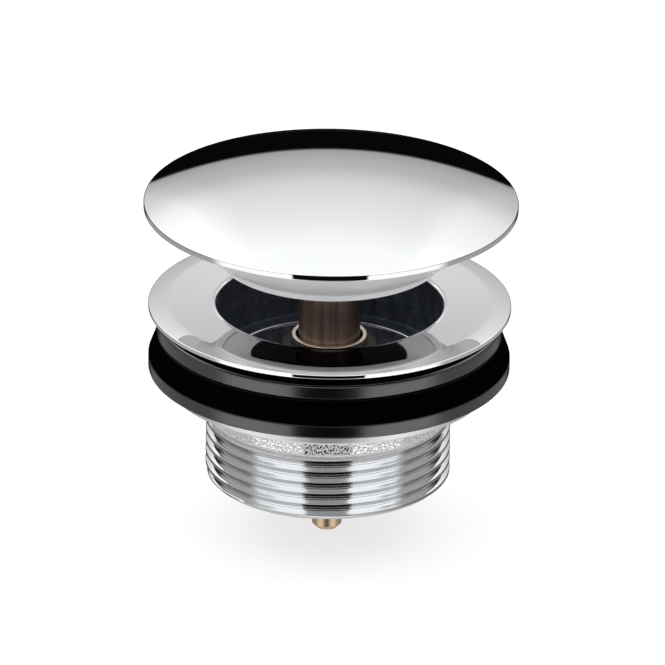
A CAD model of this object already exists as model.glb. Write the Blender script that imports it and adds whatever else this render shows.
"""Pushbutton bath waste: flanged body, rubber washers, and a mushroom plug on the cartridge that
it is pressed open and shut with. Shapes are worked out in millimetres."""

import math

import bmesh
import bpy
import numpy as np
from mathutils import Matrix, Vector


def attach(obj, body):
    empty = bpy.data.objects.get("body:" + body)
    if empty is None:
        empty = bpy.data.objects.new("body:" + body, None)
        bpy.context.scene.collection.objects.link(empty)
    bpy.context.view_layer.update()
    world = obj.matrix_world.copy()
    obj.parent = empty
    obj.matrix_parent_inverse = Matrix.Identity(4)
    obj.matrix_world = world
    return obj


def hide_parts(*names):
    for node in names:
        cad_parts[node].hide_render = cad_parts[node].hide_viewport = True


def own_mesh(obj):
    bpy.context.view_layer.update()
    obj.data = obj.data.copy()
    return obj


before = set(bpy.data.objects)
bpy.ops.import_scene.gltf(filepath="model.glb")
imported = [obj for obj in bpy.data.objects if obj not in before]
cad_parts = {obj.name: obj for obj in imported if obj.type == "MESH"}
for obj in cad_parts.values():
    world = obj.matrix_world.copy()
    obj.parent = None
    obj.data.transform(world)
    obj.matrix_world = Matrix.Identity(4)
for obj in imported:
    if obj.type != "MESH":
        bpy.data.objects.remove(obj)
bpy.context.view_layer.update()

# The table and the camera.
# The waste stands on the tip of its stud, on a pale table that the camera sees as white, and a
# long lens looks down on it from the front, as in the photograph.
MM = 0.001
FLANGE_TOP, STUD_TIP = 3.3, -44.7
CAMERA_TILT = math.radians(23.6)
CAMERA_ROLL = math.radians(0.8)
CAMERA_DISTANCE = 3.159
SENSOR_WIDTH, FOCAL_LENGTH = 36, 877.2
AIM_RIGHT, AIM_UP = 0.53, -6.14
TABLE_HALF, TABLE_GAP = 4.0, 0.1
TABLE_GREY, TABLE_SEEN, TABLE_GLOW = 0.85, 0.36, 0.74

scene = bpy.context.scene
scene.view_settings.view_transform = "Standard"
facing = Matrix.Rotation(math.pi / 2 - CAMERA_TILT, 3, "X") @ Matrix.Rotation(CAMERA_ROLL, 3, "Z")
aim = Vector((0, 0, FLANGE_TOP * MM)) + facing @ Vector((AIM_RIGHT * MM, AIM_UP * MM, 0))
lens = bpy.data.cameras.new("camera")
lens.sensor_width = SENSOR_WIDTH
lens.lens = FOCAL_LENGTH
camera = bpy.data.objects.new("camera", lens)
scene.collection.objects.link(camera)
camera.location = aim + facing @ Vector((0, 0, CAMERA_DISTANCE))
camera.rotation_euler = facing.to_euler()
scene.camera = camera


def node(tree, kind, inputs=None, **settings):
    """Adds a shader node, sets its own settings, and fills or wires its inputs."""
    made = tree.nodes.new("ShaderNode" + kind)
    for name, value in settings.items():
        setattr(made, name, value)
    for name, value in (inputs or {}).items():
        if isinstance(value, bpy.types.NodeSocket):
            tree.links.new(value, made.inputs[name])
        else:
            made.inputs[name].default_value = value
    return made


def calc(tree, operation, *values):
    """One step of arithmetic on numbers or sockets."""
    return node(tree, "Math", dict(enumerate(values)), operation=operation).outputs[0]


def blend(tree, share, first, second, way="MIX"):
    """Goes from the first colour to the second as the share goes from 0 to 1. A colour is
    (red, green, blue) or a socket."""
    ends = [c if isinstance(c, bpy.types.NodeSocket) else (*c, 1) for c in (first, second)]
    inputs = {0: share, 6: ends[0], 7: ends[1]}
    return node(tree, "Mix", inputs, data_type="RGBA", blend_type=way).outputs[2]


table_mesh = bpy.data.meshes.new("table")
table_mesh.from_pydata(
    [
        (x * TABLE_HALF, y * TABLE_HALF, (STUD_TIP - TABLE_GAP) * MM)
        for x, y in ((-1, -1), (1, -1), (1, 1), (-1, 1))
    ],
    [],
    [(0, 1, 2, 3)],
)
table = bpy.data.objects.new("table", table_mesh)
scene.collection.objects.link(table)
table.visible_glossy = False
paper = bpy.data.materials.new("pale_table")
paper.use_nodes = True
tree = paper.node_tree
tree.nodes.clear()
seen = node(tree, "LightPath").outputs["Is Camera Ray"]
shade = blend(tree, seen, (TABLE_GREY,) * 3, (TABLE_SEEN,) * 3)
matt = node(tree, "BsdfDiffuse", {"Color": shade}).outputs[0]
strength = calc(tree, "MULTIPLY", seen, TABLE_GLOW)
glow = node(tree, "Emission", {"Color": (1, 1, 1, 1), "Strength": strength}).outputs[0]
both = node(tree, "AddShader", {0: matt, 1: glow}).outputs[0]
node(tree, "OutputMaterial", {"Surface": both})
table_mesh.materials.append(paper)

# The studio light.
# A white tent stands over the table, open in a dark strip along the horizon and brighter towards
# its two sides. In front, the lens looks through a narrow dark gap between two white panels.
STUDIO_STRENGTH = 1.18
GAP_END, PANEL_START = 22.6, 23.6


def ramp(tree, factor, stops):
    """A grey ramp: stops are (place, brightness) pairs."""
    made = node(tree, "ValToRGB", {0: factor})
    points = made.color_ramp.elements
    for place, _ in stops[2:]:
        points.new(place)
    for point, (place, grey) in zip(points, stops):
        point.position = place
        point.color = (grey, grey, grey, 1)
    return made.outputs["Color"]


def spread(tree, value, start, end, low=0.0, high=1.0):
    """Carries a value from the range start to end into the range low to high, and holds it at
    the ends outside."""
    return node(tree, "MapRange", {0: value, 1: start, 2: end, 3: low, 4: high}).outputs[0]


world = bpy.data.worlds.new("studio")
scene.world = world
world.use_nodes = True
studio = world.node_tree
studio.nodes.clear()
direction = node(studio, "SeparateXYZ", {0: node(studio, "TexCoord").outputs["Generated"]}).outputs
rise = calc(studio, "ARCSINE", direction["Z"])
height = spread(studio, rise, -math.pi / 2, math.pi / 2)
towards = calc(studio, "MULTIPLY", direction["Y"], -1.0)
angle = calc(studio, "ABSOLUTE", calc(studio, "ARCTAN2", direction["X"], towards))
bearing = spread(studio, angle, 0.0, math.pi)
width = spread(studio, direction["X"], -1.0, 1.0)


def by_height(*stops):
    """Brightness by degrees above the horizon, on a ramp from straight down to straight up."""
    return ramp(studio, height, [((degrees + 90) / 180, grey) for degrees, grey in stops])


def by_bearing(*stops):
    """Brightness by degrees to either side of the camera, on a ramp from its side to the back."""
    return ramp(studio, bearing, [(degrees / 180, grey) for degrees, grey in stops])


def by_width(*stops):
    """Brightness by the sideways part of the direction, on a ramp from left to right."""
    return ramp(studio, width, [((x + 1) / 2, grey) for x, grey in stops])


behind = by_height(
    (9.0, 0.002), (10.2, 0.33), (12.5, 0.37), (17, 0.43), (20, 0.455), (22, 0.49), (24, 0.54),
    (27, 0.61), (30, 0.67), (35, 0.73), (40, 0.78), (45, 0.83), (50, 0.91), (55, 0.98),
    (65, 1.0), (90, 1.0),
)
before = by_height((22, 0.002), (30, 0.75), (45, 1.0), (90, 1.0))
tent = blend(studio, by_bearing((70, 1.0), (105, 0.0)), behind, before)
both_sides = by_width(
    (-0.26, 1.38), (-0.232, 1.20), (-0.184, 1.04), (-0.10, 1.0), (0.17, 1.0), (0.20, 1.04),
    (0.22, 1.11), (0.244, 1.18),
)
tent = blend(studio, 1.0, tent, both_sides, "MULTIPLY")

panels = by_bearing(
    (GAP_END, 0.003), (PANEL_START, 1.0), (70, 1.0), (78, 0.34), (150, 0.32), (162, 0.01)
)
panel_feet = by_bearing((GAP_END, 0.27), (PANEL_START, 0.95), (55, 0.92), (64, 0.42))
far_down = by_height((-60, 1.0), (-34, 1.0), (-31, 0.0), (0, 0.0))
lower = blend(studio, far_down, panels, panel_feet)
straight_down = by_height((-78, 1.0), (-62, 0.0))
lower = blend(studio, straight_down, lower, (TABLE_GREY,) * 3)

at_panels = by_bearing((GAP_END, 0.0), (PANEL_START, 1.0), (74, 1.0), (82, 0.0))
open_strip = by_height((-13, 1.0), (-10, 0.0))
panel_tops = by_height((3, 1.0), (5, 0.0))
share_below = blend(studio, at_panels, open_strip, panel_tops)
lit = blend(studio, share_below, tent, lower)
seen = node(studio, "LightPath").outputs["Is Camera Ray"]
sky = blend(studio, seen, lit, (1, 1, 1))
back = node(studio, "Background", {"Color": sky, "Strength": STUDIO_STRENGTH}).outputs[0]
node(studio, "OutputWorld", {"Surface": back})

# The waste's body: flange and mouth.
# One brass casting, turned, polished on the flange and chrome plated. The flange lies in the
# bath, its edge rolled and its mouth beaded, and the tail hangs through the outlet hole.
FLANGE_R, MOUTH_R, TAIL_R = 35.4, 22.15, 23.9
UNDERCUT_R, FLANGE_SKIN_BASE = 33.8, -19.0
BEVEL_R, BEVEL_WIDTH, BEVEL_DROP, BEVEL_POWER = 35.1, 3.6, 0.30, 1.6
MICRON = 1e-6
MERGE_DISTANCE = 2e-7


def rounded(corners, steps=8):
    """An outline with eased corners, each given as (radius, height, fillet). A fillet's arc
    touches both sides that meet there: its centre lies on their bisector, at the fillet over the
    sine of half the angle. One more point stands just outside each end of the arc."""
    places = np.array([c[:2] for c in corners], float)
    pieces = []
    for k, (_, _, fillet) in enumerate(corners):
        here, ahead = places[k], places[(k + 1) % len(corners)]
        if fillet <= 0:
            pieces.append(here[None])
            continue
        u = (places[k - 1] - here) / np.linalg.norm(places[k - 1] - here)
        v = (ahead - here) / np.linalg.norm(ahead - here)
        half = 0.5 * math.acos(np.clip(u @ v, -1, 1))
        reach = fillet / math.tan(half)
        centre = here + (u + v) / np.linalg.norm(u + v) * fillet / math.sin(half)
        first, last = here + u * reach - centre, here + v * reach - centre
        start = math.atan2(first[1], first[0])
        swing = (math.atan2(last[1], last[0]) - start + math.pi) % (2 * math.pi) - math.pi
        angle = start + swing * np.linspace(0, 1, steps + 1)
        arc = centre + fillet * np.stack([np.cos(angle), np.sin(angle)], 1)
        outside = reach + 0.25 * fillet
        pieces += [(here + u * outside)[None], arc, (here + v * outside)[None]]
    return np.concatenate(pieces)


def turned(outline, columns=256):
    """Points of a turned surface: (r cos a, r sin a, z), a full turn for each outline point."""
    a = np.linspace(0, 2 * math.pi, columns, endpoint=False)
    r, z = np.hsplit(np.asarray(outline, float), 2)
    return np.stack([r * np.cos(a), r * np.sin(a), z + 0 * a], -1)


def skin(name, points, finish, body, nodes, closed=False, shift=0, crease=50):
    """A mesh skin on a grid of points, rows by columns. Columns join round the axis, with the
    rows moved up by shift where the last column meets the first, which closes a helix. Closed
    rows join too. A row on the axis shrinks to one point, and points that coincide are merged.
    Edges that turn by more than the crease, in degrees, stay sharp."""
    rows, columns = points.shape[:2]
    i, j = np.meshgrid(np.arange(rows if closed else rows - 1), np.arange(columns), indexing="ij")
    step = np.where(j == columns - 1, shift, 0)
    over, up = (j + 1) % columns, (i + 1) % rows
    faces = [
        i * columns + j, (i + step) * columns + over, (up + step) * columns + over, up * columns + j
    ]
    faces = np.stack(faces, -1).reshape(-1, 4)
    faces = faces[(faces < rows * columns).all(1)]
    mesh = bpy.data.meshes.new(name)
    mesh.from_pydata((points * MM).reshape(-1, 3).tolist(), [], faces.tolist())
    form = bmesh.new()
    form.from_mesh(mesh)
    bmesh.ops.remove_doubles(form, verts=form.verts, dist=MERGE_DISTANCE)
    form.to_mesh(mesh)
    form.free()
    mesh.shade_smooth()
    mesh.set_sharp_from_angle(angle=math.radians(crease))
    mesh.materials.append(finish)
    piece = bpy.data.objects.new(name, mesh)
    scene.collection.objects.link(piece)
    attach(piece, body)
    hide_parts(*nodes)
    return piece


def group(name, inputs, output):
    """An empty node group with float inputs (name, default) and one float output: the group, its
    object coordinates, the sockets asked for and the socket to be given."""
    made = bpy.data.node_groups.new(name, "ShaderNodeTree")
    for label, value in inputs:
        socket = made.interface.new_socket(label, in_out="INPUT", socket_type="NodeSocketFloat")
        socket.default_value = value
    made.interface.new_socket(output, in_out="OUTPUT", socket_type="NodeSocketFloat")
    asked = made.nodes.new("NodeGroupInput").outputs
    given = made.nodes.new("NodeGroupOutput").inputs[output]
    return made, node(made, "TexCoord").outputs["Object"], asked, given


def from_axis(tree, place, operation):
    """The way out from the axis at a place: its length, or with NORMALIZE its direction."""
    level = node(tree, "VectorMath", {0: place, 1: (1, 1, 0)}, operation="MULTIPLY").outputs[0]
    output = "Value" if operation == "LENGTH" else "Vector"
    return node(tree, "VectorMath", {0: level}, operation=operation).outputs[output]


# Turning marks: noise read by radius and height, and only slowly by angle, so it draws out into
# fine rings round the axis.
turning, where, asked, given = group(
    "turning_marks", [("Spacing", 3000.0), ("Drift", 1.0)], "Rings"
)
radius = from_axis(turning, where, "LENGTH")
unit = node(turning, "SeparateXYZ", {0: from_axis(turning, where, "NORMALIZE")}).outputs
upward = node(turning, "SeparateXYZ", {0: where}).outputs[2]
place = node(
    turning,
    "CombineXYZ",
    {
        0: calc(turning, "MULTIPLY", radius, asked[0]),
        1: calc(turning, "MULTIPLY", upward, asked[0]),
        2: calc(turning, "MULTIPLY", unit[0], asked[1]),
    },
).outputs[0]
rings = node(
    turning,
    "TexNoise",
    {
        "Vector": place, "W": calc(turning, "MULTIPLY", unit[1], asked[1]),
        "Scale": 1.0, "Detail": 3.0, "Roughness": 0.6,
    },
    noise_dimensions="4D",
)
turning.links.new(rings.outputs[0], given)

# Draw lines: noise read by angle round the axis, and only slowly by height, so it draws out into
# upright streaks.
drawing, where, asked, given = group("draw_lines", [("Count", 9.0), ("Lean", 30.0)], "Streaks")
unit = from_axis(drawing, where, "NORMALIZE")
round_axis = node(drawing, "VectorMath", {0: unit, "Scale": asked[0]}, operation="SCALE")
upward = node(drawing, "SeparateXYZ", {0: where}).outputs[2]
climb = node(drawing, "CombineXYZ", {2: calc(drawing, "MULTIPLY", upward, asked[1])})
place = node(
    drawing, "VectorMath", {0: round_axis.outputs[0], 1: climb.outputs[0]}, operation="ADD"
)
streaks = node(
    drawing,
    "TexNoise",
    {"Vector": place.outputs[0], "Scale": 1.0, "Detail": 4.0, "Roughness": 0.65},
)
drawing.links.new(spread(drawing, streaks.outputs[0], 0.36, 0.66), given)

# Handling: broad soft patches where fingers and cloths have dulled a finish a little.
handling, where, asked, given = group("handling_patches", [("Size", 70.0)], "Patches")
blotch = node(
    handling, "TexNoise", {"Vector": where, "Scale": asked[0], "Detail": 4.0, "Roughness": 0.55}
)
handling.links.new(spread(handling, blotch.outputs[0], 0.35, 0.70), given)


def use(tree, made, **values):
    """Places a node group in a material with its own values and returns its first output."""
    placed = tree.nodes.new("ShaderNodeGroup")
    placed.node_tree = made
    for name, value in values.items():
        placed.inputs[name].default_value = value
    return placed.outputs[0]


def new_finish(name):
    """A new material, its node tree and the sockets of its shader."""
    made = bpy.data.materials.new(name)
    made.use_nodes = True
    return made, made.node_tree, made.node_tree.nodes["Principled BSDF"].inputs


def dent(tree, sockets, relief, depth, strength):
    """Lets a finish's normal follow a relief, with its depth in microns."""
    bump = node(tree, "Bump", {"Height": relief, "Distance": depth * MICRON, "Strength": strength})
    tree.links.new(bump.outputs[0], sockets["Normal"])


def metal(name, colour, gloss, rings, depth, spacing, drift, darker, metallic=1.0):
    """A bare or plated metal. Gloss and rings are (low, high): the roughness that handling
    patches give, and the part that turning marks add. The marks have a depth in microns, a
    spacing per metre and a drift round the axis, and darker is the share of the colour that is
    left at their bottoms."""
    made, tree, sockets = new_finish(name)
    marks = use(tree, turning, Spacing=spacing, Drift=drift)
    patches = use(tree, handling, Size=70.0)
    added = spread(tree, marks, 0, 1, *rings)
    rough = calc(tree, "ADD", spread(tree, patches, 0, 1, *gloss), added)
    tree.links.new(rough, sockets["Roughness"])
    tint = blend(tree, marks, tuple(c * darker for c in colour), colour)
    tree.links.new(tint, sockets["Base Color"])
    sockets["Metallic"].default_value = metallic
    dent(tree, sockets, marks, depth, 1.0)
    return made


chrome = metal(
    "polished_chrome", (0.97, 0.98, 0.99), (0.015, 0.035), (0.0, 0.01), 0.12, 1500.0, 2.0, 0.99
)
t = np.linspace(0, 1, 40)[:, None]
bevel = [BEVEL_R - BEVEL_WIDTH * t, FLANGE_TOP - BEVEL_DROP * (1 - t) ** BEVEL_POWER]
rolled_edge = rounded(
    [(UNDERCUT_R, 0.0, 0), (FLANGE_R, 2.25, 0.2), (FLANGE_R, 2.95, 0.21), (BEVEL_R, 3.0, 0)]
)
mouth_edge = rounded([(22.38, 3.03, 0), (22.17, 2.8, 0.1), (22.17, 0.0, 0)], 6)
flange_outline = np.concatenate(
    [
        [[22.3, FLANGE_SKIN_BASE], [TAIL_R, FLANGE_SKIN_BASE], [TAIL_R, 0.0], [UNDERCUT_R, 0.0]],
        rolled_edge[1:-1],
        np.concatenate(bevel, 1),
        [[31.2, 3.29], [23.2, 3.01]],
        [[22.95, 3.0], [22.8, 3.03], [22.62, 3.075], [22.5, 3.075], [22.38, 3.03]],
        mouth_edge[1:],
    ]
)
skin(
    "body_flange", turned(flange_outline, 320), chrome, "waste", ["waste_body"],
    closed=True,
)

# The throat, ledge and bore.
# Inside, the casting is left as it was bored out, under thin dark plating, with the shallow rings
# of the cutter below the mouth. The ledge's edge has been touched bright.
TAIL_END, LEDGE, BORE_R = -33.1, -9.0, 18.98
MARKS_TOP, MARKS_BASE, MARK_DEPTH, MARK_PITCH = -1.2, -5.4, 0.03, 0.7


def shade_by(made, share):
    """Multiplies a finish's colour by a share that changes over the surface."""
    tree = made.node_tree
    colour = tree.nodes["Principled BSDF"].inputs["Base Color"]
    grey = node(tree, "CombineColor", {0: share, 1: share, 2: share}).outputs[0]
    shaded = blend(tree, 1.0, colour.links[0].from_socket, grey, "MULTIPLY")
    tree.links.new(shaded, colour)


def streaked(made, low, high, count, lean):
    """Tints a metal from its low to its high share of its colour along upright streaks."""
    marks = use(made.node_tree, drawing, Count=count, Lean=lean)
    shade_by(made, spread(made.node_tree, marks, 0, 1, low, high))


dark_bore = metal(
    "dark_plated_bore", (0.24, 0.27, 0.34), (0.40, 0.50), (0.0, 0.12), 2.0, 900.0, 9.0, 0.45,
    metallic=0.6,
)
streaked(dark_bore, 0.75, 1.3, 14.0, 160.0)
z = np.linspace(MARKS_TOP, MARKS_BASE, 73)[:, None]
groove = MARK_DEPTH * (1 - np.cos(2 * math.pi * (z - MARKS_TOP) / MARK_PITCH))
below_marks = rounded(
    [
        (MOUTH_R, -5.45, 0), (MOUTH_R, LEDGE, 0.35), (BORE_R, LEDGE, 0.25),
        (BORE_R, TAIL_END, 0.25), (21.0, TAIL_END, 0), (21.0, FLANGE_SKIN_BASE, 0),
        (22.35, FLANGE_SKIN_BASE, 0), (22.35, 2.6, 0), (MOUTH_R, 2.6, 0),
    ]
)
bore_outline = np.concatenate([np.concatenate([MOUTH_R - groove, z], 1), below_marks])
skin(
    "body_bore", turned(bore_outline, 320), dark_bore, "waste", ["waste_body"],
    closed=True,
)
ledge_edge = rounded(
    [(18.95, -9.5, 0.1), (19.6, -9.5, 0.1), (19.6, -8.97, 0.1), (18.95, -8.97, 0.25)], 6
)
skin(
    "body_ledge_edge", turned(ledge_edge, 320), chrome, "waste", ["waste_body"],
    closed=True,
)

# The cast collar over the thread.
# Above the thread the casting keeps its sand skin: the plating follows its coarse grains, and
# the thread cutter runs out in its lower edge.
COLLAR_TOP, COLLAR_BASE, COLLAR_R, COLLAR_INSIDE_R = -13.7, -20.0, 23.93, 21.5
RUN_OUT, RUN_OUT_DEPTH = 0.8, 0.9
GRAIN_ROWS, GRAIN_COLUMNS = 84, 1024
FINEST_GRAIN, COARSEST_GRAIN, GRAIN_HEIGHT, GRAIN_LIMIT = 0.36, 1.5, 0.058, 2.2

plated_cast = metal(
    "plated_cast_skin", (0.97, 0.975, 0.98), (0.56, 0.66), (0.0, 0.02), 0.2, 1500.0, 2.0, 0.97,
    metallic=0.7,
)
seed = np.random.default_rng(7).standard_normal((GRAIN_ROWS, GRAIN_COLUMNS))
rate_z = np.fft.fftfreq(GRAIN_ROWS, (COLLAR_TOP - COLLAR_BASE) / GRAIN_ROWS)[:, None]
rate_a = np.fft.fftfreq(GRAIN_COLUMNS, 2 * math.pi * TAIL_R / GRAIN_COLUMNS)[None]
rate = np.hypot(rate_z, rate_a)
band = np.exp(-((rate * FINEST_GRAIN) ** 2)) - np.exp(-((rate * COARSEST_GRAIN) ** 2))
grains = np.real(np.fft.ifft2(np.fft.fft2(seed) * band))
grains = np.clip(grains / grains.std(), -GRAIN_LIMIT, GRAIN_LIMIT) * GRAIN_HEIGHT
z = np.linspace(COLLAR_TOP, COLLAR_BASE, GRAIN_ROWS)[::-1][:, None]
kept = np.clip((z - COLLAR_BASE) / RUN_OUT, 0, 1)
r = COLLAR_R - RUN_OUT_DEPTH * (1 - kept) ** 1.5 + grains * np.clip(kept * 2, 0, 1)
a = np.linspace(0, 2 * math.pi, GRAIN_COLUMNS, endpoint=False)
grainy = np.stack([r * np.cos(a), r * np.sin(a), z + 0 * a], -1)
inside = [[COLLAR_INSIDE_R, COLLAR_TOP + 0.3], [COLLAR_INSIDE_R, COLLAR_BASE]]
skin(
    "body_cast_collar", np.concatenate([grainy, turned(inside, GRAIN_COLUMNS)]), plated_cast,
    "waste", ["waste_body"], closed=True,
)

# The tail's thread.
# A right-hand G 1 1/2 pipe thread, cut in the casting and plated: 2.309 mm pitch, 55 degree
# flanks and rounded crests, which nuts have rubbed dull. The end has a small chamfer.
PITCH, THREAD_TOP, CREST_AT, CHAMFER_R = 2.309, -19.5, -22.35, 22.85
TAIL_THREAD = (PITCH, math.radians(27.5), 0.22, 0.14, 0.317)
TAIL_COLUMNS, TAIL_RIM_R = 448, 21.0
DULL_FROM_R, DULL_TO_R, DULL_SHARE = 23.80, 23.88, 0.42


def thread_depth(along, pitch, flank, flat, crest, root):
    """How far a thread lies below its crests at a distance along the axis from a crest: a flat,
    a small arc of the crest radius, a straight flank at the flank angle, and a round root."""
    s = np.abs((along + pitch / 2) % pitch - pitch / 2)
    over, under = crest * math.cos(flank), root * math.cos(flank)
    ease, bed = crest * (1 - math.sin(flank)), root * (1 - math.sin(flank))
    slope = (pitch / 2 - flat - over - under) / math.tan(flank)
    start, end = flat + over, pitch / 2 - under
    top = crest - np.sqrt(crest**2 - np.clip(s - flat, 0, over) ** 2)
    side = ease + np.clip(s - start, 0, end - start) / math.tan(flank)
    low = np.sqrt(root**2 - np.clip(pitch / 2 - s, 0, under) ** 2) - root + bed
    return np.where(s < start, top, np.where(s < end, side, ease + slope + low))


def turn_rows(pitch, flank, flat, crest, root):
    """Where the rows of one turn lie along the axis: close together on the two arcs, which are
    split by equal angles, and three on each flank."""
    arc = np.sin(np.linspace(0, math.pi / 2 - flank, 6))
    start, end = flat + crest * math.cos(flank), pitch / 2 - root * math.cos(flank)
    half = np.concatenate(
        [[0], flat + crest * arc, np.linspace(start, end, 4)[1:-1], pitch / 2 - root * arc[::-1]]
    )
    return np.concatenate([half, pitch - half[-2:0:-1]])


def helical(top, base, crest, pitch, rows, columns, radius_at):
    """Points of a threaded surface on a grid that climbs one pitch in each turn, with its rows
    at the given places along the pitch. Heights past the two ends are held there, so the extra
    rows shrink to nothing."""
    turns = np.arange(-2, math.ceil((top - base) / pitch) + 2)
    start = crest + math.floor((base - crest) / pitch) * pitch
    a = np.linspace(0, 2 * math.pi, columns, endpoint=False)[None]
    lead = pitch * a / (2 * math.pi)
    z = np.clip((start + turns[:, None] * pitch + rows[None]).reshape(-1, 1) + lead, base, top)
    r = radius_at(z, z - crest - lead)
    return np.stack([r * np.cos(a), r * np.sin(a), z], -1)


def tail_radius(z, along):
    """The thread's radius, cut back by the chamfer near the tail's end."""
    return np.minimum(TAIL_R - thread_depth(along, *TAIL_THREAD), CHAMFER_R + z - TAIL_END)


plated_thread = metal(
    "plated_thread", (0.93, 0.945, 0.96), (0.05, 0.12), (0.0, 0.10), 1.2, 5000.0, 90.0, 0.90
)
tree = plated_thread.node_tree
radius = from_axis(tree, node(tree, "TexCoord").outputs["Object"], "LENGTH")
shade_by(plated_thread, spread(tree, radius, DULL_FROM_R * MM, DULL_TO_R * MM, 1.0, DULL_SHARE))
tail_rows = turn_rows(*TAIL_THREAD)
threaded = helical(
    THREAD_TOP, TAIL_END, CREST_AT, PITCH, tail_rows, TAIL_COLUMNS, tail_radius
)
rim = turned([[TAIL_RIM_R, TAIL_END]], TAIL_COLUMNS)
skin(
    "body_tail_thread", np.concatenate([rim, threaded]), plated_thread, "waste",
    ["waste_body"], shift=len(tail_rows), crease=120,
)

# The hub and its cross-bars.
# Cast in one with the body: four bars run from the wall to a round hub, which the cartridge's
# stud passes through. Their corners are soft from the casting.
HUB_R, HUB_HOLE_R, HUB_TOP = 7.8, 3.2, -28.5
BAR_START, BAR_END, BAR_MIDDLE = 6.0, 20.4, -30.79
BAR_HALF_WIDTH, BAR_HALF_HEIGHT, BAR_POWER = 1.6, 2.3, 0.4
FILLET_AT_HUB, FILLET_AT_WALL, FILLET_LENGTH, FILLET_WIDTH = 7.6, 19.1, 1.4, 1.3

hub = rounded(
    [
        (HUB_HOLE_R, TAIL_END, 0.15), (HUB_R, TAIL_END, 0.5), (HUB_R, HUB_TOP, 0.5),
        (HUB_HOLE_R, HUB_TOP, 0.3),
    ],
    6,
)
skin("body_hub", turned(hub, 96), dark_bore, "waste", ["waste_body"], closed=True)


def bar(turn):
    """One cross-bar: a soft rectangle, drawn along the radius, that widens in a fillet where it
    meets the hub and the wall. Its section is a superellipse: cos and sin to the power 2/5."""
    along = np.linspace(BAR_START, BAR_END, 60)[:, None]
    t = np.linspace(0, 2 * math.pi, 40, endpoint=False)[None]
    from_end = np.clip(np.minimum(along - FILLET_AT_HUB, FILLET_AT_WALL - along), 0, FILLET_LENGTH)
    flare = (1 - np.sqrt(1 - (1 - from_end / FILLET_LENGTH) ** 2 * 0.999)) * FILLET_WIDTH
    c, s = np.cos(t), np.sin(t)
    y = (BAR_HALF_WIDTH + flare) * np.sign(c) * np.abs(c) ** BAR_POWER
    z = BAR_MIDDLE + BAR_HALF_HEIGHT * np.sign(s) * np.abs(s) ** BAR_POWER + 0 * along
    ends = [np.tile([x, 0, BAR_MIDDLE], (1, 40, 1)) for x in (BAR_START, BAR_END)]
    x, y, z = np.moveaxis(
        np.concatenate([ends[0], np.stack([along + 0 * t, y, z], -1), ends[1]]), -1, 0
    )
    return np.stack(
        [math.cos(turn) * x - math.sin(turn) * y, math.sin(turn) * x + math.cos(turn) * y, z], -1
    )


for number in range(4):
    skin(
        f"body_bar_{number + 1}", bar(number * math.pi / 2), dark_bore, "waste",
        ["waste_body"],
    )

# The gasket, the tapered washer and the slip ring.
# Black rubber above and below the bath's wall: a flat ring under the flange, and a thick washer
# whose side slopes out to an upright rim. A bright metal ring keeps the nut from dragging it.
RING_HOLE_R = 24.3
GASKET_R, GASKET_TOP, GASKET_BASE = 33.7, -0.3, -2.9
WASHER_R, WASHER_TOP_R, WASHER_TOP, WASHER_RIM, WASHER_BASE = 35.3, 33.6, -3.2, -7.8, -10.6
SLIP_R, SLIP_TOP, SLIP_BASE = 32.0, -10.9, -13.4
CONE_BASE, CONE_TOP = (-8.2, -7.7), (-3.3, -3.0)


def level_of(tree):
    """How high a place lies on the piece, in metres."""
    return node(tree, "SeparateXYZ", {0: node(tree, "TexCoord").outputs["Object"]}).outputs[2]


def band_of(tree, level, start, end, low, high):
    """A value that goes from low to high between two heights in millimetres."""
    return spread(tree, level, start * MM, end * MM, low, high)


def speckle(tree, scale, detail):
    """Fine noise over the whole piece."""
    where = node(tree, "TexCoord").outputs["Object"]
    return node(tree, "TexNoise", {"Vector": where, "Scale": scale, "Detail": detail}).outputs[0]


rubber, tree, sockets = new_finish("black_rubber_skin")
patches = use(tree, handling, Size=55.0)
marks = use(tree, turning, Spacing=1800.0, Drift=3.0)
tint = blend(tree, patches, (0.0006, 0.0007, 0.0009), (0.0014, 0.0016, 0.0020))
tree.links.new(tint, sockets["Base Color"])
sockets["IOR"].default_value = 2.0
level = level_of(tree)
cone = calc(
    tree, "MULTIPLY", band_of(tree, level, *CONE_BASE, 0.0, 1.0),
    band_of(tree, level, *CONE_TOP, 1.0, 0.0),
)
tree.links.new(spread(tree, cone, 0, 1, 0.5, 0.0), sockets["Specular IOR Level"])
rough = calc(
    tree, "ADD", spread(tree, patches, 0, 1, 0.20, 0.27), spread(tree, cone, 0, 1, 0.0, 0.35)
)
tree.links.new(rough, sockets["Roughness"])
relief = node(tree, "Mix", {0: 0.35, 2: speckle(tree, 2600.0, 3.0), 3: marks}).outputs[0]
dent(tree, sockets, relief, 6.0, 0.6)

gasket = rounded(
    [
        (RING_HOLE_R, GASKET_BASE, 0.2), (GASKET_R, GASKET_BASE, 0.25),
        (GASKET_R, GASKET_TOP, 0.3), (RING_HOLE_R, GASKET_TOP, 0.2),
    ],
    6,
)
skin("gasket_ring", turned(gasket), rubber, "waste", ["bath_gasket"], closed=True)
washer = rounded(
    [
        (RING_HOLE_R, WASHER_BASE, 0.3), (WASHER_R, WASHER_BASE, 0.45),
        (WASHER_R, WASHER_RIM, 0.5), (WASHER_TOP_R, WASHER_TOP, 0.2),
        (RING_HOLE_R, WASHER_TOP, 0.2),
    ],
    6,
)
skin(
    "washer_ring", turned(washer), rubber, "waste", ["tapered_washer"], closed=True
)
satin_chrome = metal(
    "satin_chrome", (0.93, 0.935, 0.94), (0.38, 0.46), (0.0, 0.06), 0.6, 1800.0, 2.0, 0.95
)
slip_ring = rounded(
    [
        (RING_HOLE_R, SLIP_BASE, 0.2), (SLIP_R, SLIP_BASE, 0.6), (SLIP_R, SLIP_TOP, 0.6),
        (RING_HOLE_R, SLIP_TOP, 0.2),
    ]
)
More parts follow.
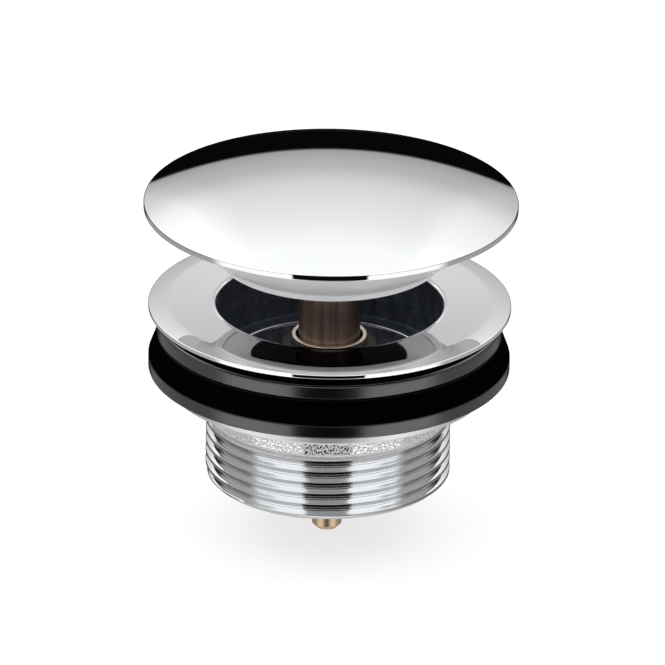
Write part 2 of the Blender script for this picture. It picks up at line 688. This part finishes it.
skin(
    "slip_ring_plate", turned(slip_ring), satin_chrome, "waste", ["slip_ring"],
    closed=True,
)

# The cap.
# A pressed and polished dome, chrome plated, that closes the bath's outlet and is pressed to
# open and shut it. Its rim is rolled under, and a boss in its middle takes the stud.
CAP_R, CAP_RISE, CAP_RIM_BASE, CAP_RIM_TOP, CAP_WALL = 36.5, 6.6, 23.1, 24.4, 1.3
CAP_SPHERE = (CAP_R**2 + CAP_RISE**2) / (2 * CAP_RISE)
DOME_R, CAP_STUD_R = 35.5, 3.3
BOSS_R, BOSS_BASE, BOSS_HOLE_TOP = 7.0, 20.9, 27.4


def dome(r, drop=0.0):
    """Height of the dome at a radius: the top less the sag of a sphere, less a drop."""
    return CAP_RIM_TOP + CAP_RISE - CAP_SPHERE + np.sqrt(CAP_SPHERE**2 - r**2) - drop


cap_chrome = metal(
    "cap_chrome", (0.82, 0.835, 0.85), (0.015, 0.035), (0.0, 0.01), 0.12, 1500.0, 2.0, 0.99
)
cap_rim = rounded(
    [
        (34.9, CAP_RIM_BASE, 0), (CAP_R, CAP_RIM_BASE, 0.28), (CAP_R, CAP_RIM_TOP, 0.3),
        (DOME_R, dome(DOME_R), 0),
    ]
)
upper = np.linspace(DOME_R, 0, 90)[1:]
lower = np.linspace(BOSS_R + 0.4, 34.6, 40)
cap_outline = np.concatenate(
    [
        [[0, BOSS_HOLE_TOP], [CAP_STUD_R, BOSS_HOLE_TOP], [CAP_STUD_R, BOSS_BASE]],
        [[BOSS_R - 0.2, BOSS_BASE], [BOSS_R, BOSS_BASE + 0.2], [BOSS_R, 28.4]],
        np.stack([lower, dome(lower, CAP_WALL)], 1),
        cap_rim[1:-1],
        np.stack([upper, dome(upper)], 1),
    ]
)
skin("cap_shell", turned(cap_outline, 384), cap_chrome, "plunger", ["cap_dome"])

# The plug's bowl.
# A bowl spun from metal under the cap, left satin from the lathe: fine rings run round it, and
# its lower edge is turned bright where it stands on its seal.
PLUG_R, PLUG_BASE = 22.0, 12.6
FLARE_R, BULGE, BOWL_WALL = 32.0, 0.42, 1.6
BOWL_FLOOR, BOWL_INSIDE = 14.1, 15.2


def flare(fraction):
    """The bowl's outside from its lower edge out to the cap: part cone, part quarter ellipse."""
    top = dome(FLARE_R, CAP_WALL) - 0.3
    start = PLUG_BASE + 1.3
    out = (1 - BULGE) * fraction + BULGE * np.sin(fraction * math.pi / 2)
    up = (1 - BULGE) * fraction + BULGE * (1 - np.cos(fraction * math.pi / 2))
    return np.stack([PLUG_R + (FLARE_R - PLUG_R) * out, start + (top - start) * up], -1)


satin = metal(
    "satin_turned_metal", (1.0, 1.0, 1.0), (0.26, 0.34), (0.0, 0.20), 4.5, 1900.0, 3.5, 0.66,
    metallic=0.4,
)
bowl = np.concatenate(
    [
        [[6.3, BOWL_FLOOR], [14.95, BOWL_FLOOR], [14.95, 12.8], [20.38, 12.8]],
        [[20.38, BOWL_FLOOR]],
        flare(np.linspace(0, 1, 40)),
        flare(np.linspace(1, 0.16, 30)) - [BOWL_WALL, 0],
        [[20.2, BOWL_INSIDE], [9.0, BOWL_INSIDE], [9.0, 20.6]],
        [[CAP_STUD_R, 20.6], [CAP_STUD_R, 15.5], [6.3, 15.5]],
    ]
)
skin(
    "plug_bowl", turned(bowl, 320), satin, "plunger", ["plug_body"], closed=True
)

# The plug's seal and the disc that holds it.
# A thin pale ring of soft rubber makes the bowl's lower lip, and a black moulded disc under the
# bowl keeps it in place round the sleeve.
SEAL_HOLE_R, SEAL_TOP = 20.4, 13.85
DISC_R, DISC_HOLE_R, DISC_TOP = 14.7, 6.3, 13.8


def dull(name, dark, light, gloss, depth, strength, scale, detail):
    """A moulded or pressed material: two close colours mixed by fine grain, which also dents it."""
    made, tree, sockets = new_finish(name)
    grain = speckle(tree, scale, detail)
    tree.links.new(blend(tree, grain, dark, light), sockets["Base Color"])
    tree.links.new(spread(tree, grain, 0, 1, *gloss), sockets["Roughness"])
    dent(tree, sockets, grain, depth, strength)
    return made, sockets


pale_rubber, tree, sockets = new_finish("pale_seal_rubber")
patches = use(tree, handling, Size=90.0)
tint = blend(tree, patches, (0.94, 0.95, 0.955), (0.97, 0.975, 0.975))
tree.links.new(tint, sockets["Base Color"])
tree.links.new(spread(tree, patches, 0, 1, 0.30, 0.42), sockets["Roughness"])
seal = rounded(
    [
        (SEAL_HOLE_R, PLUG_BASE, 0.1), (PLUG_R, PLUG_BASE, 0.5), (PLUG_R, SEAL_TOP, 0.05),
        (SEAL_HOLE_R, SEAL_TOP, 0.05),
    ],
    6,
)
skin(
    "plug_lip_seal", turned(seal), pale_rubber, "plunger", ["plug_seal"], closed=True
)
moulded, sockets = dull(
    "black_moulded_disc", (0.002, 0.002, 0.0025), (0.005, 0.005, 0.006), (0.5, 0.65), 8.0, 0.6,
    3500.0, 2.0,
)
sockets["IOR"].default_value = 1.2
sockets["Specular IOR Level"].default_value = 0.15
disc = rounded(
    [
        (DISC_HOLE_R, PLUG_BASE, 0.2), (DISC_R, PLUG_BASE, 0.4), (DISC_R, DISC_TOP, 0.2),
        (DISC_HOLE_R, DISC_TOP, 0.1),
    ],
    6,
)
skin(
    "seal_disc", turned(disc, 192), moulded, "plunger", ["seal_retainer"],
    closed=True,
)

# The sleeve.
# A drawn brass tube that slides in the cartridge and carries the plug. It is stained dark brown,
# thinner in front and black at the top, and its wider foot takes the index ring.
SLEEVE_R, SLEEVE_TOP, SLEEVE_BASE, FOOT_R, FOOT_TOP = 6.0, 15.2, -14.6, 7.9, -10.4
THIN_TOWARDS = (-0.17, -0.98, 0)
THIN_FROM, THIN_TO, THICK_SHARE, THIN_SHARE = 1.5, 6.0, 0.3, 1.75
BLACK_FROM, BLACK_TO, BLACK_SHARE = 8.6, 9.6, 0.03

stained = metal(
    "stained_bronze", (0.42, 0.295, 0.235), (0.30, 0.38), (0.0, 0.10), 1.0, 2200.0, 1.0, 0.75,
    metallic=0.5,
)
streaked(stained, 0.65, 1.25, 3.0, 12.0)
tree = stained.node_tree
where = node(tree, "TexCoord").outputs["Object"]
facing_front = node(
    tree, "VectorMath", {0: where, 1: tuple(x / MM for x in THIN_TOWARDS)}, operation="DOT_PRODUCT"
).outputs["Value"]
thin = spread(tree, facing_front, THIN_FROM, THIN_TO, THICK_SHARE, THIN_SHARE)
level = level_of(tree)
blackened = band_of(tree, level, BLACK_FROM, BLACK_TO, 1.0, BLACK_SHARE)
shade_by(stained, calc(tree, "MULTIPLY", thin, blackened))
tree.links.new(
    band_of(tree, level, BLACK_FROM, BLACK_TO, 0.5, 0.05),
    tree.nodes["Principled BSDF"].inputs["Specular IOR Level"],
)
wall = rounded(
    [
        (5.0, 12.0, 0.15), (5.0, -11.25, 0.1), (6.4, -11.25, 0.1), (6.4, -13.2, 0.05),
        (6.9, -13.2, 0.05), (6.9, -14.3, 0.05), (6.4, -14.3, 0.05), (6.4, SLEEVE_BASE, 0.08),
        (FOOT_R, SLEEVE_BASE, 0.3), (FOOT_R, FOOT_TOP, 0.3), (SLEEVE_R, FOOT_TOP, 0.15),
        (SLEEVE_R, SLEEVE_TOP, 0.3), (3.3, SLEEVE_TOP, 0.2), (3.3, 12.5, 0.1), (0.3, 12.5, 0),
    ],
    5,
)
tube = np.concatenate([[[0, 12.0]], wall, [[0, 12.5]]])
skin("sleeve_tube", turned(tube, 160), stained, "plunger", ["plunger_sleeve"])

# The collar of the cartridge.
# A turned brass collar closes the barrel, and its thin lip is rolled round the sleeve. Water has
# browned its shoulder and the barrel, and the rubbed lip has stayed pale.
RUBBED_TO, BROWN_FROM = -4.5, -4.9

brass = metal(
    "turned_brass", (0.74, 0.55, 0.39), (0.30, 0.38), (0.0, 0.08), 1.0, 3000.0, 1.0, 0.85
)
browned = metal(
    "browned_brass", (0.030, 0.027, 0.024), (0.24, 0.36), (0.0, 0.10), 1.0, 3000.0, 1.0, 0.7
)
lip_brass = metal(
    "rubbed_lip_brass", (0.92, 0.80, 0.66), (0.26, 0.34), (0.0, 0.06), 1.0, 3000.0, 1.0, 0.88
)
tree = lip_brass.node_tree
colour = tree.nodes["Principled BSDF"].inputs["Base Color"]
low = band_of(tree, level_of(tree), RUBBED_TO, BROWN_FROM, 0.0, 1.0)
dark = blend(tree, low, colour.links[0].from_socket, (0.025, 0.022, 0.02))
tree.links.new(dark, colour)
collar = rounded(
    [
        (7.2, -8.8, 0.1), (8.0, -8.8, 0.15), (8.0, -7.6, 0.05), (9.5, -7.6, 0.1),
        (9.5, -5.2, 0.4), (7.4, -5.2, 0.15), (7.4, -3.4, 0.3), (6.45, -3.4, 0.3),
        (6.45, -4.9, 0.1), (6.25, -5.2, 0.05), (6.25, -5.8, 0.05), (7.2, -5.8, 0.1),
    ],
    6,
)
skin(
    "collar_with_lip", turned(collar, 192), lip_brass, "waste", ["guide_collar"],
    closed=True,
)

# The anchor stud and its nut.
# A threaded brass stud runs through the hub and is clamped by a nut below it. Its turned-down
# tip shows under the tail.
STUD_R, STUD_TOP, STUD_CREST, STUD_PITCH, STUD_COLUMNS = 2.9, -25.7, -40.0, 1.0, 72
STUD_THREAD = (STUD_PITCH, math.radians(30), 0.06, 0.05, 0.12)
STUD_TIP_R, THREAD_END, THREAD_FADE = 2.0, -41.8, 0.6
NUT_FLAT, NUT_BASE, NUT_TOP, NUT_HOLE_R = 5.0, -38.3, -34.7, 3.15
NUT_EASE, NUT_EASE_DEPTH, NUT_CONE, NUT_COLUMNS = 0.9, 0.15, 1.7, 192


def stud_radius(z, along):
    """The stud's thread, which stops above a plain tip with a cone."""
    threaded = np.clip((z - THREAD_END) / THREAD_FADE, 0, 1)
    cut = thread_depth(along, *STUD_THREAD) * threaded
    return np.minimum(STUD_R - cut, STUD_TIP_R + z - STUD_TIP)


stud_rows = turn_rows(*STUD_THREAD)
stud = helical(STUD_TOP, STUD_TIP, STUD_CREST, STUD_PITCH, stud_rows, STUD_COLUMNS, stud_radius)
stud_ends = [turned([[0, z]], STUD_COLUMNS) for z in (STUD_TIP, STUD_TOP)]
skin(
    "stud_thread", np.concatenate([stud_ends[0], stud, stud_ends[1]]), brass, "waste",
    ["anchor_stud"], shift=len(stud_rows), crease=80,
)


def hexagon(flat, base, top, hole):
    """A nut: its radius follows six flats, flat over the cosine of the angle from the nearest
    flat's middle, held inside a cone at each face that turns the corners off."""
    a = np.linspace(0, 2 * math.pi, NUT_COLUMNS, endpoint=False)[None]
    side = flat / np.cos((a + math.pi / 6) % (math.pi / 3) - math.pi / 6)
    z = np.concatenate(
        [np.linspace(base, base + NUT_EASE, 14), np.linspace(top - NUT_EASE, top, 14)]
    )[:, None]
    r = np.minimum(side, flat - NUT_EASE_DEPTH + np.minimum(z - base, top - z) * NUT_CONE)
    grid = np.stack([r * np.cos(a), r * np.sin(a), z + 0 * a], -1)
    return np.concatenate([grid, turned([[hole, top], [hole, base]], NUT_COLUMNS)])


skin(
    "clamp_nut", hexagon(NUT_FLAT, NUT_BASE, NUT_TOP, NUT_HOLE_R), brass, "waste",
    ["lock_nut"], closed=True,
)

# The pieces inside the cartridge.
# Barrel, washers, bush, seal, post, clip, index ring and cap stud keep the shapes of the model,
# and each gets the finish of its own material.
steel = metal(
    "drawn_steel", (0.62, 0.63, 0.65), (0.18, 0.28), (0.0, 0.06), 0.8, 4000.0, 3.0, 0.88
)
acetal, _ = dull(
    "natural_acetal", (0.78, 0.77, 0.71), (0.86, 0.85, 0.81), (0.32, 0.48), 10.0, 0.5, 1500.0, 4.0
)
fibre, _ = dull(
    "red_fibre", (0.34, 0.10, 0.06), (0.50, 0.17, 0.10), (0.6, 0.85), 30.0, 0.5, 2200.0, 4.0
)
finishes = {
    "cartridge_barrel": browned, "cap_stud": brass, "hub_washer": fibre, "fixing_washer": steel,
    "spring_seat": steel, "rotor_clip": steel, "guide_bush": acetal,
    "cam_post": acetal, "index_rotor": acetal, "sleeve_ring_seal": rubber,
}
for name, finish in finishes.items():
    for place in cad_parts[name].material_slots:
        place.material = finish

# The return spring.
# Round stainless wire coiled between its seat and the sleeve's ceiling, with one closed coil at
# each end. It shortens by the plug's stroke.
SPRING_BASE, SPRING_TOP, STROKE = -8.9, 11.7, 10.5
WIRE_R, COIL_R, TURNS, CLOSED_PITCH = 0.42, 4.33, 9.0, 0.88
ROWS_PER_TURN, WIRE_COLUMNS = 44, 18
CLOSED_UNTIL, OPEN_FROM = 0.8, 1.4


def coil():
    """Points of a round wire on a helix: the coil's radius out and a height that climbs by the
    pitch in each turn, plus the wire's radius round the helix's tangent. The pitch opens after
    the first coil and closes before the last. Its first and last rows shrink to one point."""
    turn = np.linspace(0, TURNS, int(TURNS * ROWS_PER_TURN) + 1)
    bends = [0, CLOSED_UNTIL, OPEN_FROM, TURNS - OPEN_FROM, TURNS - CLOSED_UNTIL, TURNS]
    opened = np.interp(turn, bends, [0, 0, 1, 1, 0, 0])
    total = SPRING_TOP - SPRING_BASE - 2 * WIRE_R
    share = np.concatenate([[0], np.cumsum((opened[1:] + opened[:-1]) / 2) * turn[1]])
    z = CLOSED_PITCH * turn + share * (total - CLOSED_PITCH * TURNS) / share[-1]
    a = 2 * math.pi * turn
    out = np.stack([np.cos(a), np.sin(a), 0 * a], -1)
    tangent = np.stack([-np.sin(a), np.cos(a), np.gradient(z, a) / COIL_R], -1)
    tangent /= np.linalg.norm(tangent, axis=1)[:, None]
    beside = np.cross(tangent, out)
    middle = out * COIL_R + np.stack([0 * a, 0 * a, SPRING_BASE + WIRE_R + z], -1)
    ring = np.linspace(0, 2 * math.pi, WIRE_COLUMNS, endpoint=False)[None, :, None]
    wire = middle[:, None] + WIRE_R * (np.cos(ring) * out[:, None] + np.sin(ring) * beside[:, None])
    ends = [np.repeat(middle[k][None, None], WIRE_COLUMNS, 1) for k in (0, -1)]
    return np.concatenate([ends[0], wire, ends[1]])


spring = skin("coil_spring", coil(), steel, "waste", ["return_spring"])
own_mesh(spring)
